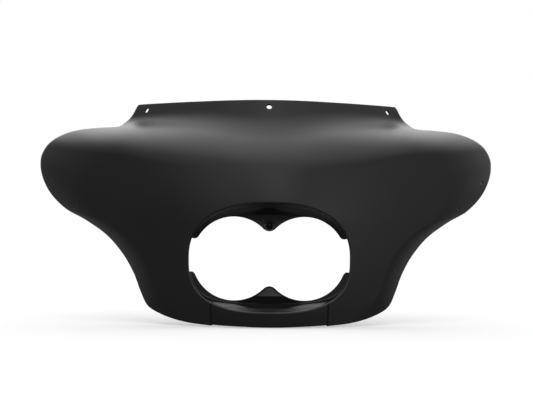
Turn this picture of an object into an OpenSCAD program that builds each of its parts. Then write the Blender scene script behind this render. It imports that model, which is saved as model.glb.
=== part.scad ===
// Front fairing of a touring motorcycle: one moulded shell with a windscreen flange along the top,
// two wings, a wide oval opening for twin round headlamps and a lamp surround inside that opening.
// Millimetres. X to the rider's left, seen from the front as right, Y to the rear, Z up.
// The origin is the middle of the headlamp opening, on the plane of the lamp surround.

/* [Overall size] */
// Width across the wing tips
overall_w = 810; // [780:1:850]
// Height from the chin edge to the top of the windscreen flange, on the middle line
overall_h = 369.5; // [362:0.5:380]
// Height of the widest point of the wings above the chin edge
tip_z = 282; // [270:1:292]
// Height of the wings' top edge above the chin edge
wing_top_z = 334.5; // [326:0.5:342]
// Width of the body where it is narrowest, beside the headlamp opening
waist_w = 445; // [430:1:470]
// Height of that place above the chin edge
waist_z = 81; // [70:1:90]
// How far the edge of the sides and wings is turned back
wing_turn = 28; // [20:1:34]
// Wall thickness of the moulding
wall = 3.5; // [2.5:0.1:4.5]

/* [Nose and sides] */
// How steeply the sides run back from the nose, rise over run far from the middle
side_lean = 1.05; // [0.9:0.01:1.2]
// Half width of the rounded nose, seen from above
nose_r = 155; // [130:1:190]
// Height at which the nose reaches furthest forward
nose_z = 160; // [145:1:170]
// Radius of the nose above that height, seen from the side
brow_r = 272; // [230:1:330]
// Radius of the nose below that height, nearly straight
chin_r = 2200; // [1600:50:4000]
// Half width over which the brow fades out into the wings
brow_w = 190; // [160:1:230]
// Length over which the front sheet rounds into the top sheet, on the middle line
shoulder_r = 62; // [50:1:80]
// The same length at the wings
shoulder_side = 130; // [100:1:145]

/* [Windscreen flange] */
// Width across the two top corners of the flange
flange_w = 460; // [440:1:480]
// Height of the bend below the flange above the chin edge, on the middle line
bend_z = 320; // [314:1:326]
// Distance of that bend behind the nose
bend_y = 118; // [106:1:126]
// Lean of the flange, its run back for each unit of height
flange_lean = 0.55; // [0.45:0.01:0.7]
// Softness of the bend
bend_r = 37; // [28:1:44]
// How far the bend at the wings lies behind the bend on the middle line
bend_back = 218; // [205:1:230]
// How far the bend at the wings lies above the bend on the middle line
bend_rise = 26; // [18:1:32]
// Diameter of the windscreen screw holes
screen_hole_d = 9; // [6:0.5:11]
// Distance of the screw holes below the top edge
screen_hole_drop = 11.5; // [9:0.5:14]
// Distance between the two outer screw holes
screen_hole_w = 428; // [400:1:432]

/* [Headlamp opening] */
// Width of the opening inside its lip
opening_w = 254; // [240:1:262]
// Height of the opening inside its lip
opening_h = 168; // [160:0.5:172]
// Height of the middle of the opening above the chin edge
opening_z = 107; // [104:1:114]
// Radius of the rounded lip
lip_r = 3; // [2:0.5:4]
// Depth of the plain return behind the lip, where the surround is cut away
lip_return = 4; // [2:0.5:6]

/* [Lamp surround] */
// Distance of the surround's plane behind the nose
surround_y = 57; // [54:1:64]
// How far the funnel wall leads in from the lip, above and below the lamps
funnel_in = 11.2; // [8:0.1:13]
// How far the funnel wall leads in from the lip, at the sides
funnel_in_side = 1.5; // [1.5:0.5:3]
// Least width of the web outside the lamp holes
web_min = 3; // [3:0.5:5]
// Thickness of the funnel wall and of the web
surround_wall = 3; // [2:0.5:4]
// Radius of each round lamp hole
lamp_r = 66.5; // [64:0.5:67.5]
// Distance of each lamp from the middle line
lamp_x = 56; // [54:0.5:58]
// Distance of the lamps' centres below the middle of the opening
lamp_drop = 2; // [0:0.5:4]
// Radius at the upper tip of the web between the lamps
web_tip_up_r = 15; // [10:0.1:18]
// Radius at the lower tip of the web between the lamps
web_tip_low_r = 11.7; // [9:0.1:15]
// Depth of the hollow in the upper part of the web
web_dish = 6; // [0:0.5:8]
// Direction of the surround's lower ends, degrees from straight down
gap_low_angle = 79.8; // [74:0.1:82]
// Direction of the surround's upper ends, degrees from straight down
gap_high_angle = 104; // [100:1:110]

/* [Chin band] */
// Width of the recessed band below the opening
band_w = 182; // [160:1:200]
// Depth of the recess
band_depth = 3; // [1.5:0.5:4]
// How far the edge beside the band hangs below the band's own edge
band_drop = 1.5; // [0:0.5:2.5]

/* [Inner fairing bosses] */
// Outer diameter of a boss
boss_d = 12; // [11:0.5:14]
// Height of a boss behind the outer skin
boss_h = 18; // [16:0.5:24]
// Distance of a boss from the edge of the wing
boss_inset = 14; // [12:0.5:18]
// Outer diameter of a threaded insert
insert_d = 6.4; // [6:0.1:7]
// Length of a threaded insert
insert_l = 9.5; // [8:0.5:11]
// Minor diameter of the insert's thread
insert_thread_d = 4.2; // [4:0.1:4.5]
// Free depth of the boss hole beyond the insert
insert_relief = 1.5; // [0.5:0.5:2.5]

/* [Hidden] */

half_w = overall_w / 2;
waist_x = waist_w / 2;
flange_x = flange_w / 2;
band_x = band_w / 2;
lip_ax = opening_w / 2 + lip_r;
lip_az = opening_h / 2 + lip_r;

// The edge of the moulding, from the middle of the chin round a wing to the middle of the flange:
// x, z, direction of the same line at the lamp opening, and how far the edge is turned back.
// Each place is given as its share of the way between the named places on either side of it.
function between(a, b, share) = a + share * (b - a);
function on_chin(out, up, turn, back) = [waist_x * out, waist_z * up, turn, wing_turn * back];
function on_side(out, up, turn, back) =
    [between(waist_x, half_w, out), between(waist_z, tip_z, up), turn, wing_turn * back];
function on_wing(out, up, turn, back) =
    [between(waist_x, half_w, out), between(tip_z, wing_top_z, up), turn, wing_turn * back];
function on_flange(out, up, turn) = [flange_x * out, between(wing_top_z, overall_h, up), turn, 0];
edge = [
    [0, 0, 0, 0],
    [band_x * 0.25, waist_z * 0.0025, 11, 0],
    [band_x * 0.5, waist_z * 0.01, 22, 0],
    [band_x * 0.75, waist_z * 0.02, 35, 0],
    [band_x, waist_z * 0.036, 52, 0],
    on_chin(0.5825, 0.067, 61, 0),
    on_chin(0.744, 0.167, 68, 0.08),
    on_chin(0.876, 0.336, 74, 0.4),
    on_chin(0.94, 0.628, 79.8, 0.62),
    on_side(0, 0, 84.5, 0.84),
    on_side(0.111, 0.156, 89, 1),
    on_side(0.272, 0.31, 93, 0.98),
    on_side(0.491, 0.441, 96.5, 0.86),
    on_side(0.713, 0.546, 99.5, 0.88),
    on_side(0.892, 0.693, 102.5, 1),
    on_side(0.987, 0.854, 105.5, 0.94),
    on_wing(1, 0, 108.5, 0.86),
    on_wing(0.93, 0.436, 111.5, 0.92),
    on_wing(0.789, 0.771, 114.5, 0.78),
    on_wing(0.613, 0.947, 118, 0.3),
    on_wing(0.392, 0.998, 122, 0),
    on_wing(0.217, 1.01, 126.5, 0),
    on_flange(1.0926, 0.309, 131),
    on_flange(1.04, 0.746, 135.5),
    on_flange(1.0035, 1.194, 139),
    on_flange(0.963, 1.243, 141.5),
    on_flange(0.785, 1.186, 149),
    on_flange(0.592, 1.131, 156.5),
    on_flange(0.39, 1.071, 164.5),
    on_flange(0.194, 1.029, 172.3),
    on_flange(0, 1, 180)
];
last = len(edge) - 1;
band_row = 4;
boss_rows = [9, 10.9, 12.6, 14.5];

// How far the bend below the flange has gone back and risen, as shares of its way to the wings, and
// the lean of the sheet under it, by share of the distance from the middle line to the wing tips
back_share = [[0, 0], [0.15, 0.108], [0.3, 0.318], [0.45, 0.551], [0.565, 0.748], [0.7, 0.925], [0.82, 0.983],
    [0.94, 0.995], [1.06, 1]];
rise_share = [[0, 0], [0.3, 0.7], [0.565, 1], [0.82, 1], [1.06, 1]];
cowl_lean = [[0, 2.15], [0.15, 2.25], [0.3, 2.5], [0.47, 3.1], [0.64, 4], [0.84, 4.2], [1.06, 4.2]];

// Value of a curve that runs smoothly through a list of [position, value], flat at the middle line
function slope(list, i) = i == 0 ? 0
    : i == len(list) - 1 ? (list[i][1] - list[i - 1][1]) / (list[i][0] - list[i - 1][0])
    : (list[i + 1][1] - list[i - 1][1]) / (list[i + 1][0] - list[i - 1][0]);
function place(list, a, i = 0) = i < len(list) - 2 && a >= list[i + 1][0] ? place(list, a, i + 1) : i;
function curve(list, x) =
    let (a = min(abs(x), list[len(list) - 1][0]), i = place(list, a),
         h = list[i + 1][0] - list[i][0], f = (a - list[i][0]) / h)
    (2 * f^3 - 3 * f^2 + 1) * list[i][1] + (f^3 - 2 * f^2 + f) * h * slope(list, i)
    + (3 * f^2 - 2 * f^3) * list[i + 1][1] + (f^3 - f^2) * h * slope(list, i + 1);

// The deeper and the nearer of two sheets, rounded where they meet
function deeper(a, b, r) = max(a, b) + max(r - abs(a - b), 0)^2 / (4 * r);
function nearer(a, b, r) = min(a, b) - max(r - abs(a - b), 0)^2 / (4 * r);

// The outer skin: how far behind the nose it lies at x, z
function brow(x) = exp(-(x / brow_w)^2);
function front_sheet(x, z) = side_lean * (sqrt(x^2 + nose_r^2) - nose_r)
    + brow(x) * (z - nose_z)^2 / (2 * (z > nose_z ? brow_r : chin_r));
function above_bend(x, z) = z - bend_z - bend_rise * curve(rise_share, x / half_w);
function skin(x, z) =
    let (bend = bend_y + bend_back * curve(back_share, x / half_w), up = above_bend(x, z))
    deeper(front_sheet(x, z), nearer(bend + up * curve(cowl_lean, x / half_w), bend + up * flange_lean, bend_r),
        between(shoulder_side, shoulder_r, brow(x)));
function skin_normal(x, z) =
    let (n = [skin(x + 0.5, z) - skin(x - 0.5, z), -1, skin(x, z + 0.5) - skin(x, z - 0.5)]) n / norm(n);

// A smooth curve through the rows of the edge, mirrored over the middle line at both ends
function over_middle(p, turn) = [-p[0], p[1], 2 * turn - p[2], p[3]];
function edge_at(t) =
    let (i = min(floor(t), last - 1), f = t - i, b = edge[i], c = edge[i + 1],
         a = i > 0 ? edge[i - 1] : over_middle(c, 0), d = i + 2 <= last ? edge[i + 2] : over_middle(b, 180))
    (2 * b + (c - a) * f + (2 * a - 5 * b + 4 * c - d) * f^2 + (3 * b - a - 3 * c + d) * f^3) / 2;

// Distance from the middle of the opening to its rounded oval, in one direction
function oval(turn, ax, az, n_up = 2.4, n_low = 2.75) =
    let (n = turn > 90 ? n_up : n_low)
    pow(pow(abs(sin(turn)) / ax, n) + pow(abs(cos(turn)) / az, n), -1 / n);
function at_opening(turn, r) = [r * sin(turn), opening_z - r * cos(turn)];

// Distance from the lamps' middle to the edge of the two joined lamp holes, in one direction
function lamp_edge(turn) =
    let (s = abs(sin(turn)), c = abs(cos(turn)), r = turn > 90 ? web_tip_up_r : web_tip_low_r,
         h = sqrt((lamp_r + r)^2 - lamp_x^2))
    atan2(s, c) < atan2(lamp_x * r, lamp_r * h) ? h * c - sqrt(r^2 - (h * s)^2)
    : lamp_x * s + sqrt(lamp_r^2 - (lamp_x * c)^2);

// Shares of the way from the opening to the edge at which the skin has its rings
rings = [0, 0.03, 0.08, 0.14, 0.21, 0.28, 0.35, 0.42, 0.49, 0.55, 0.61, 0.66, 0.71, 0.76, 0.81, 0.86, 0.9,
    0.94, 0.975, 1];
back_rings = [0, 2, 4, 6, 8, 10, 12, 14, 16, 18, 19];
nr = len(rings);

// The lines from the opening to the edge: one on each side of a step of the chin band, and every
// half row elsewhere, round one side and back along the other
half_lines = concat([for (t = [0 : 0.5 : band_row - 0.5]) t], [band_row - 0.015, band_row + 0.015],
    [for (t = [band_row + 0.5 : 0.5 : last]) t]);
lines = concat([for (t = half_lines) [t, 1]], [for (k = [len(half_lines) - 2 : -1 : 1]) [half_lines[k], -1]]);
nl = len(lines);

function line_turn(l) = edge_at(l[0])[2];
function in_band(l) = l[0] < band_row;

// A point of the skin on line l, at share v of the way to the edge, before the band is sunk
function skin_point(l, v) =
    let (e = edge_at(l[0]), o = at_opening(e[2], oval(e[2], lip_ax, lip_az)),
         x = o[0] + (e[0] - o[0]) * v, z = o[1] + (e[1] - hang(l) - o[1]) * v,
         turned = e[3] * pow(max(v - 0.65, 0) / 0.35, 2))
    [l[1] * x, skin(x, z) + turned, z];
function unit(a) = a / norm(a);
function along(l, v) = unit(skin_point(l, min(v + 0.01, 1)) - skin_point(l, max(v - 0.01, 0)));
function across(l, v) =
    let (a = skin_point([max(l[0] - 0.1, 0), l[1]], v), b = skin_point([min(l[0] + 0.1, last), l[1]], v)) b - a;
function outward(l, v) =
    let (n = unit(cross(across(l, v), along(l, v)))) l[0] < 0.05 || l[0] > last - 0.05
        ? unit([0, n[1], n[2]]) * (n[1] > 0 ? -1 : 1) : n[1] > 0 ? -n : n;
function sunk(l) = [0, in_band(l) ? band_depth : 0, 0];
function hang(l) = in_band(l) ? 0 : band_drop * exp(2 * (band_row - l[0]));

// One line's points: skin rings from lip to edge, rim, back rings from edge to lip, the lip's return
// and its rounding; then the surround's front and back
function back_point(l, v) = sunk(l) + skin_point(l, v)
    + (v == 0 ? [0, wall / abs(outward(l, v)[1]), 0] : -wall * outward(l, v))
    + (v > 0 && abs(l[0] - band_row) < 0.1 ? wall * unit(across(l, v)) : [0, 0, 0]);
// The lip leaves the skin at f = 0 and points straight back at f = 1
function lip_point(l, f) =
    let (p = skin_point(l, 0) + sunk(l), k = p - along(l, 0) * lip_r, a = k + [0, lip_r, 0])
    (1 - f)^2 * p + 2 * f * (1 - f) * k + f^2 * a;
function lip_back(l) = lip_point(l, 1) + [0, lip_return, 0];
function lip_heel(l) = let (n = along(l, 0)) lip_back(l) + unit([n[0], 0, n[2]]) * lip_r;
function shell_points(l) = concat(
    [for (v = rings) skin_point(l, v) + sunk(l)],
    [skin_point(l, 1) + along(l, 1) * wall * 0.35 - outward(l, 1) * wall * 0.5 + sunk(l)],
    [for (k = [len(back_rings) - 1 : -1 : 0]) back_point(l, rings[back_rings[k]])],
    [lip_heel(l), lip_back(l), lip_point(l, 1), lip_point(l, 0.67), lip_point(l, 0.33)]);
ns = nr + 1 + len(back_rings) + 5;
lip_a = ns - 3;
lip_b = ns - 4;
lip_c = ns - 5;

// Depth of the web's front face: hollowed behind its upper half
function web_y(x, z) =
    let (d = norm([x / (lamp_r * 0.38), (z - opening_z - lamp_r * 0.87) / (lamp_r * 0.22)]))
    surround_y + (d < 1 ? web_dish * (1 - d^2)^2 : 0);
function surround_points(l) =
    let (turn = line_turn(l), a = lip_point(l, 1), c = lip_heel(l),
         rl = oval(turn, opening_w / 2 - funnel_in_side, opening_h / 2 - funnel_in, 2.75, 3.6),
         ra = norm([a[0], a[2] - opening_z]),
         hole = at_opening(turn, min(lamp_edge(turn) + lamp_drop * cos(turn), rl - web_min)),
         in = at_opening(turn, rl - surround_wall / 3), flat = [for (f = [0, 0.4, 0.75, 1]) in + (hole - in) * f],
         mid = at_opening(turn, (ra + rl) / 2), mid_y = (a[1] + surround_y) / 2 - surround_wall / 6,
         low = at_opening(turn, rl), deep = max(c[1], a[1]) + surround_wall / 5,
         mid_b = at_opening(turn, (ra + rl) / 2 + surround_wall), low_b = at_opening(turn, rl + surround_wall * 4 / 3))
    [for (p = concat(
        [[mid[0], mid_y, mid[1]], [low[0], surround_y - surround_wall / 2, low[1]]],
        [for (q = flat) [q[0], web_y(q[0], q[1]), q[1]]],
        [for (k = [3 : -1 : 0]) [flat[k][0], web_y(flat[k][0], flat[k][1]) + surround_wall, flat[k][1]]],
        [[low_b[0], max(surround_y + surround_wall / 3, deep + surround_wall / 5), low_b[1]],
         [mid_b[0], max(mid_y + surround_wall / 3, deep), mid_b[1]]])) [l[1] * p[0], p[1], p[2]]];
nf = 12;

function has_surround(l) = line_turn(l) <= gap_low_angle || line_turn(l) >= gap_high_angle;
with_surround = [for (l = lines) has_surround(l)];

// Numbering: shell points of every line first, then surround points of every line that has them
function surround_count(i) = i == 0 ? 0 : surround_count(i - 1) + (with_surround[i - 1] ? 1 : 0);
starts = [for (i = [0 : nl - 1]) nl * ns + nf * surround_count(i)];
function sp(i, k) = (i % nl) * ns + k;
function fp(i, k) = k == 0 ? sp(i, lip_a) : k == nf + 1 ? sp(i, lip_c) : starts[i % nl] + k - 1;
function quad(a, b, c, d) = [[a, c, b], [a, d, c]];

function shell_faces(i) = [for (k = [0 : ns - 1])
    let (both = with_surround[i] && with_surround[(i + 1) % nl]) if (!(both && (k == lip_b || k == lip_c)))
        each quad(sp(i, k), sp(i, (k + 1) % ns), sp(i + 1, (k + 1) % ns), sp(i + 1, k))];
function surround_faces(i) = with_surround[i] && with_surround[(i + 1) % nl]
    ? [for (k = [0 : nf]) each quad(fp(i, k + 1), fp(i, k), fp(i + 1, k), fp(i + 1, k + 1))] : [];
// End of the surround beside a gap: a strip between its front and its back
function end_faces(i, flip) =
    let (f = concat([[sp(i, lip_a), sp(i, lip_b), sp(i, lip_c)]],
        [for (k = [0 : nf / 2 - 1]) each quad(fp(i, k), fp(i, k + 1), fp(i, nf - k), fp(i, nf + 1 - k))]))
    [for (t = f) if (t[0] != t[1] && t[1] != t[2]) flip ? [t[2], t[1], t[0]] : t];

module moulding() {
    points = concat([for (l = lines) each shell_points(l)],
        [for (l = lines) if (has_surround(l)) each surround_points(l)]);
    faces = concat([for (i = [0 : nl - 1]) each shell_faces(i)],
        [for (i = [0 : nl - 1]) each surround_faces(i)],
        [for (i = [0 : nl - 1]) if (with_surround[i] && !with_surround[(i + 1) % nl]) each end_faces(i, true)],
        [for (i = [0 : nl - 1]) if (with_surround[i] && !with_surround[(i + nl - 1) % nl]) each end_faces(i, false)]);
    polyhedron(points, faces, convexity = 12);
}

// Turns Z onto a direction, at a place
module aim(p, n) {
    translate(p) rotate([0, acos(n[2]), atan2(n[1], n[0])]) children();
}

// Screw holes through the flange, square to it
function top_edge(x, i = last - 1) =
    edge[i][0] >= x ? let (f = (x - edge[i + 1][0]) / (edge[i][0] - edge[i + 1][0]))
        edge[i + 1][1] + f * (edge[i][1] - edge[i + 1][1])
    : top_edge(x, i - 1);
screen_holes = [for (x = [-screen_hole_w / 2, 0, screen_hole_w / 2])
    let (z = top_edge(abs(x)) - screen_hole_drop) [x, skin(x, z), z]];
module screen_hole_cuts() {
    for (p = screen_holes) aim(p, skin_normal(p[0], p[2]))
        cylinder(h = 8 * wall, d = screen_hole_d, center = true, $fn = 32);
}

// The skin straight above a place x, z, searched for from a point near it
function skin_over(x, z, t, v, tries = 3) =
    let (p = skin_point([t, 1], v))
    tries == 0 ? [p, t, v] :
    let (a = (skin_point([t + 0.05, 1], v) - p) / 0.05, b = (skin_point([t, 1], v + 0.01) - p) / 0.01,
         det = a[0] * b[2] - b[0] * a[2], dx = x - p[0], dz = z - p[2])
    skin_over(x, z, t + (dx * b[2] - b[0] * dz) / det, v + (a[0] * dz - dx * a[2]) / det, tries - 1);

// Places of the bosses: a set distance in from the edge, two by two, as share of the lines
function boss_place(t) =
    let (e = edge_at(t), k = edge_at(t + 0.05) - edge_at(t - 0.05), n = unit([-k[1], k[0]]))
    skin_over(e[0] + n[0] * boss_inset, e[1] + n[1] * boss_inset, t, 0.85, 6);
boss_places = [for (t = boss_rows) boss_place(t)];

// One boss along Y, its foot cut to the skin and sunk into the wall
module boss(place, side) {
    p = place[0];
    sink = wall * 0.5 / abs(outward([place[1], 1], place[2])[1]);
    sides = 20;
    foot = [for (a = [0 : 360 / sides : 359])
        let (q = skin_over(p[0] + boss_d / 2 * cos(a), p[2] + boss_d / 2 * sin(a), place[1], place[2])[0])
        [side * q[0], q[1] + sink, q[2]]];
    end = [for (q = foot) [q[0], p[1] + boss_h, q[2]]];
    faces = [for (i = [0 : sides - 1]) let (j = (i + 1) % sides)
        each [[i, j, sides * 2], [sides + j, sides + i, sides * 2 + 1], [i, sides + i, j], [j, sides + i, sides + j]]];
    polyhedron(concat(foot, end, [[side * p[0], p[1] + sink, p[2]], [side * p[0], p[1] + boss_h, p[2]]]),
        side < 0 ? faces : [for (f = faces) [f[2], f[1], f[0]]]);
}
// Along Y from the end of each boss towards its foot
module at_boss_ends() {
    for (place = boss_places, side = [1, -1])
        translate([side * place[0][0], place[0][1] + boss_h, place[0][2]]) rotate([90, 0, 0]) children();
}

module to_lamp_centre() {
    translate([0, -surround_y, -opening_z]) children();
}

module outer_fairing() {
    color([0.07, 0.07, 0.075]) to_lamp_centre() difference() {
        union() {
            moulding();
            for (place = boss_places, side = [1, -1]) boss(place, side);
        }
        screen_hole_cuts();
        at_boss_ends() translate([0, 0, -1]) cylinder(h = insert_l + insert_relief + 1, d = insert_d, $fn = 32);
    }
}

// Brass inserts pressed into the bosses, flush with their ends
module threaded_inserts() {
    color([0.78, 0.62, 0.3]) to_lamp_centre() at_boss_ends() difference() {
        cylinder(h = insert_l, d = insert_d, $fn = 32);
        translate([0, 0, -1]) cylinder(h = insert_l + 2, d = insert_thread_d, $fn = 32);
    }
}

outer_fairing();
threaded_inserts();
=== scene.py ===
import math

import bmesh
import bpy
import numpy as np
from mathutils import Matrix, Vector


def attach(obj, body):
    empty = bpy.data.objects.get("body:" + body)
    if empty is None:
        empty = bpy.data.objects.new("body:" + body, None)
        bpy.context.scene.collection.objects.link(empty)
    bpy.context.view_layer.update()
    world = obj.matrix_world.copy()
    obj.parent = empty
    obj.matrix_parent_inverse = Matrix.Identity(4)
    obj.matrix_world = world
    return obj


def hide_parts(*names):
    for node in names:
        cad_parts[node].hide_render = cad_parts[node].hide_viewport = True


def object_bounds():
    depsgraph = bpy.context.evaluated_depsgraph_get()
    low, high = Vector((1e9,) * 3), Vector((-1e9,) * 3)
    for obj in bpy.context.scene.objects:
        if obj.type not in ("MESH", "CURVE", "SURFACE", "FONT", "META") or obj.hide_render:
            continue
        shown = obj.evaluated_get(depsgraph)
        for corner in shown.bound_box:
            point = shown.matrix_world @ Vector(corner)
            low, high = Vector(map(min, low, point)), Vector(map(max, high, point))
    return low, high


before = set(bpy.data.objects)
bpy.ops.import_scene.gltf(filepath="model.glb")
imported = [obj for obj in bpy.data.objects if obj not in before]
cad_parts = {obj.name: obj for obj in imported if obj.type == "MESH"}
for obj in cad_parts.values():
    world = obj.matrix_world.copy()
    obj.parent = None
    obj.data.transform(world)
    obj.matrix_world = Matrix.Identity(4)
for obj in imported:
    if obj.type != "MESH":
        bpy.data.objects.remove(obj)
cad_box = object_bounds()

# ---------------------------------------------------------------------------
# Outer fairing
# One injection moulding in black plastic, about 3.5 mm thick. It carries the windscreen on the
# flange along its top and frames the twin headlamps with a funnel and a web of the same moulding.
# Screws through an inner fairing go into the bosses on its back and hold it.

# Sizes in millimetres, measured from the chin edge on the middle line and from the tip of the nose;
# leans are slopes and turns are degrees, 0 straight down from the lamps' middle and 180 straight up
HALF_W, OVERALL_H = 405.0, 369.5
TIP_Z, WING_TOP_Z, WING_TURN = 282.0, 334.5, 28.0
WAIST_X, WAIST_Z, FLANGE_X = 222.5, 81.0, 230.0
WALL, RIM_BULGE = 3.5, 0.35
SIDE_LEAN, NOSE_R, NOSE_Z, BROW_R, CHIN_R, BROW_W = 1.05, 155.0, 160.0, 272.0, 2200.0, 190.0
SHOULDER_R, SHOULDER_SIDE, TURN_FROM = 62.0, 130.0, 0.65
BEND_Y, BEND_Z, BEND_R, BEND_BACK, BEND_RISE, FLANGE_LEAN = 118.0, 320.0, 37.0, 218.0, 26.0, 0.55
OPENING_W, OPENING_H, OPENING_Z = 254.0, 168.0, 107.0
SKIN_OVAL, WEB_OVAL = (2.4, 2.75), (2.75, 3.6)
LIP_R, LIP_RETURN, LIP_EDGE, LIP_BLEND = 3.0, 4.0, 0.4, 0.06
SURROUND_Y, FUNNEL_IN, FUNNEL_IN_SIDE, WEB_MIN, SURROUND_WALL = 57.0, 11.2, 1.5, 3.0, 3.0
DUCT_DRAFT, CONE_TURN, CORNER_R, WEB_EDGE = 1.0, 28.0, 1.6, 0.8
LAMP_R, LAMP_X, LAMP_DROP = 66.5, 56.0, 2.0
TONGUE_X, TONGUE_FADE, TONGUE_LEAN = 38.0, 22.0, 0.33
HOOD, HOOD_RUN, HOOD_FADE = 9.0, 3.2, 30.0
DIMPLE_Z, DIMPLE_R, DIMPLE_DEEP, DIMPLE_FALL = 159.5, 7.0, 5.5, 2.2
WEB_TIP_UP, WEB_TIP_LOW = 15.0, 11.7
GAP_LOW_TURN, GAP_HIGH_TURN, GAP_NEAR = 79.8, 104.0, 0.01
BAND_X, BAND_DEPTH, BAND_DROP, BAND_STEP = 91.0, 3.0, 1.5, 0.07
SCREEN_HOLE_D, SCREEN_HOLE_DROP, SCREEN_HOLE_X = 9.0, 11.5, 214.0
BOSS_D, BOSS_H, BOSS_INSET, BOSS_SIDES = 12.0, 18.0, 14.0, 40
BOSS_EDGE, BOSS_MOUTH, FOOT_R, FOOT_SUNK = 0.5, 0.4, 3.0, 0.5
PAD_INSET, PAD_FOOT, PAD_LINES = 2.6, 5.2, 48
INSERT_D, INSERT_L, INSERT_THREAD_D, INSERT_RELIEF = 6.4, 9.5, 4.2, 1.5
MM = 0.001


def between(a, b, share):
    return a + share * (b - a)


def on_chin(out, up, turn, back):
    return [WAIST_X * out, WAIST_Z * up, turn, WING_TURN * back]


def on_side(out, up, turn, back):
    return [between(WAIST_X, HALF_W, out), between(WAIST_Z, TIP_Z, up), turn, WING_TURN * back]


def on_wing(out, up, turn, back):
    return [between(WAIST_X, HALF_W, out), between(TIP_Z, WING_TOP_Z, up), turn, WING_TURN * back]


def on_flange(out, up, turn):
    return [FLANGE_X * out, between(WING_TOP_Z, OVERALL_H, up), turn, 0]


# The moulding's edge from the chin round a wing to the flange: x, z, direction of the same line at
# the lamp opening, and how far the edge is turned back
EDGE = np.array([
    [0, 0, 0, 0], [BAND_X * 0.25, WAIST_Z * 0.0025, 11, 0], [BAND_X * 0.5, WAIST_Z * 0.01, 22, 0],
    [BAND_X * 0.75, WAIST_Z * 0.02, 35, 0], [BAND_X, WAIST_Z * 0.036, 52, 0],
    on_chin(0.5825, 0.067, 61, 0), on_chin(0.744, 0.167, 68, 0.08), on_chin(0.876, 0.336, 74, 0.4),
    on_chin(0.94, 0.628, 79.8, 0.62), on_side(0, 0, 84.5, 0.84), on_side(0.111, 0.156, 89, 1),
    on_side(0.272, 0.31, 93, 0.98), on_side(0.491, 0.441, 96.5, 0.86),
    on_side(0.713, 0.546, 99.5, 0.88), on_side(0.892, 0.693, 102.5, 1),
    on_side(0.987, 0.854, 105.5, 0.94), on_wing(1, 0, 108.5, 0.86),
    on_wing(0.93, 0.436, 111.5, 0.92), on_wing(0.789, 0.771, 114.5, 0.78),
    on_wing(0.613, 0.947, 118, 0.3),
    on_wing(0.392, 0.998, 122, 0), on_wing(0.217, 1.01, 126.5, 0), on_flange(1.0926, 0.309, 131),
    on_flange(1.04, 0.746, 135.5), on_flange(1.0035, 1.194, 139), on_flange(0.963, 1.243, 141.5),
    on_flange(0.785, 1.186, 149), on_flange(0.592, 1.131, 156.5), on_flange(0.39, 1.071, 164.5),
    on_flange(0.194, 1.029, 172.3), on_flange(0, 1, 180),
])
LAST, BAND_ROW = len(EDGE) - 1, 4
BOSS_ROWS = [9, 10.9, 12.6, 14.5]

# How far the bend below the flange has gone back and risen, as shares of its way to the wings, and
# the lean of the sheet under it, by share of the distance from the middle line to the wing tips
BACK_SHARE = [[0, 0], [0.15, 0.108], [0.3, 0.318], [0.45, 0.551], [0.565, 0.748], [0.7, 0.925],
              [0.82, 0.983], [0.94, 0.995], [1.06, 1]]
RISE_SHARE = [[0, 0], [0.3, 0.7], [0.565, 1], [0.82, 1], [1.06, 1]]
COWL_LEAN = [[0, 2.15], [0.15, 2.25], [0.3, 2.5], [0.47, 3.1], [0.64, 4], [0.84, 4.2], [1.06, 4.2]]


def curve(rows, x):
    """Smooth value through rows of [distance out, value], flat on the middle line."""
    at, val = np.array(rows, float).T
    tilt = np.empty_like(val)
    tilt[1:-1] = (val[2:] - val[:-2]) / (at[2:] - at[:-2])
    tilt[0], tilt[-1] = 0, (val[-1] - val[-2]) / (at[-1] - at[-2])
    a = np.clip(np.abs(x), 0, at[-1])
    i = np.clip(np.searchsorted(at, a, side="right") - 1, 0, len(at) - 2)
    h = at[i + 1] - at[i]
    f = (a - at[i]) / h
    return ((2 * f**3 - 3 * f**2 + 1) * val[i] + (f**3 - 2 * f**2 + f) * h * tilt[i]
            + (3 * f**2 - 2 * f**3) * val[i + 1] + (f**3 - f**2) * h * tilt[i + 1])


def deeper(a, b, r):
    """The farther back of two depths, with a rounded change from one to the other."""
    return np.maximum(a, b) + np.maximum(r - np.abs(a - b), 0) ** 2 / (4 * r)


def nearer(a, b, r):
    """The same for the nearer one."""
    return np.minimum(a, b) - np.maximum(r - np.abs(a - b), 0) ** 2 / (4 * r)


def skin(x, z):
    """How far behind the nose the outer skin lies."""
    brow = np.exp(-((x / BROW_W) ** 2))
    front = (SIDE_LEAN * (np.sqrt(x**2 + NOSE_R**2) - NOSE_R)
             + brow * (z - NOSE_Z) ** 2 / (2 * np.where(z > NOSE_Z, BROW_R, CHIN_R)))
    bend = BEND_Y + BEND_BACK * curve(BACK_SHARE, x / HALF_W)
    above = z - BEND_Z - BEND_RISE * curve(RISE_SHARE, x / HALF_W)
    top = nearer(bend + above * curve(COWL_LEAN, x / HALF_W), bend + above * FLANGE_LEAN, BEND_R)
    return deeper(front, top, between(SHOULDER_SIDE, SHOULDER_R, brow))


def smooth(f):
    """0 up to 0, 1 from 1, and a soft change between."""
    f = np.clip(f, 0, 1)
    return f * f * (3 - 2 * f)


def edge_at(t):
    """The edge at any share of its rows, as a smooth curve mirrored over the middle line."""
    over = lambda p, turn: np.array([-p[0], p[1], 2 * turn - p[2], p[3]])
    rows = np.vstack([over(EDGE[1], 0), EDGE, over(EDGE[-2], 180)])
    i = np.clip(np.floor(t).astype(int), 0, LAST - 1)
    f = (t - i)[..., None]
    a, b, c, d = rows[i], rows[i + 1], rows[i + 2], rows[i + 3]
    return (2 * b + (c - a) * f + (2 * a - 5 * b + 4 * c - d) * f**2
            + (3 * b - a - 3 * c + d) * f**3) / 2


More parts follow.
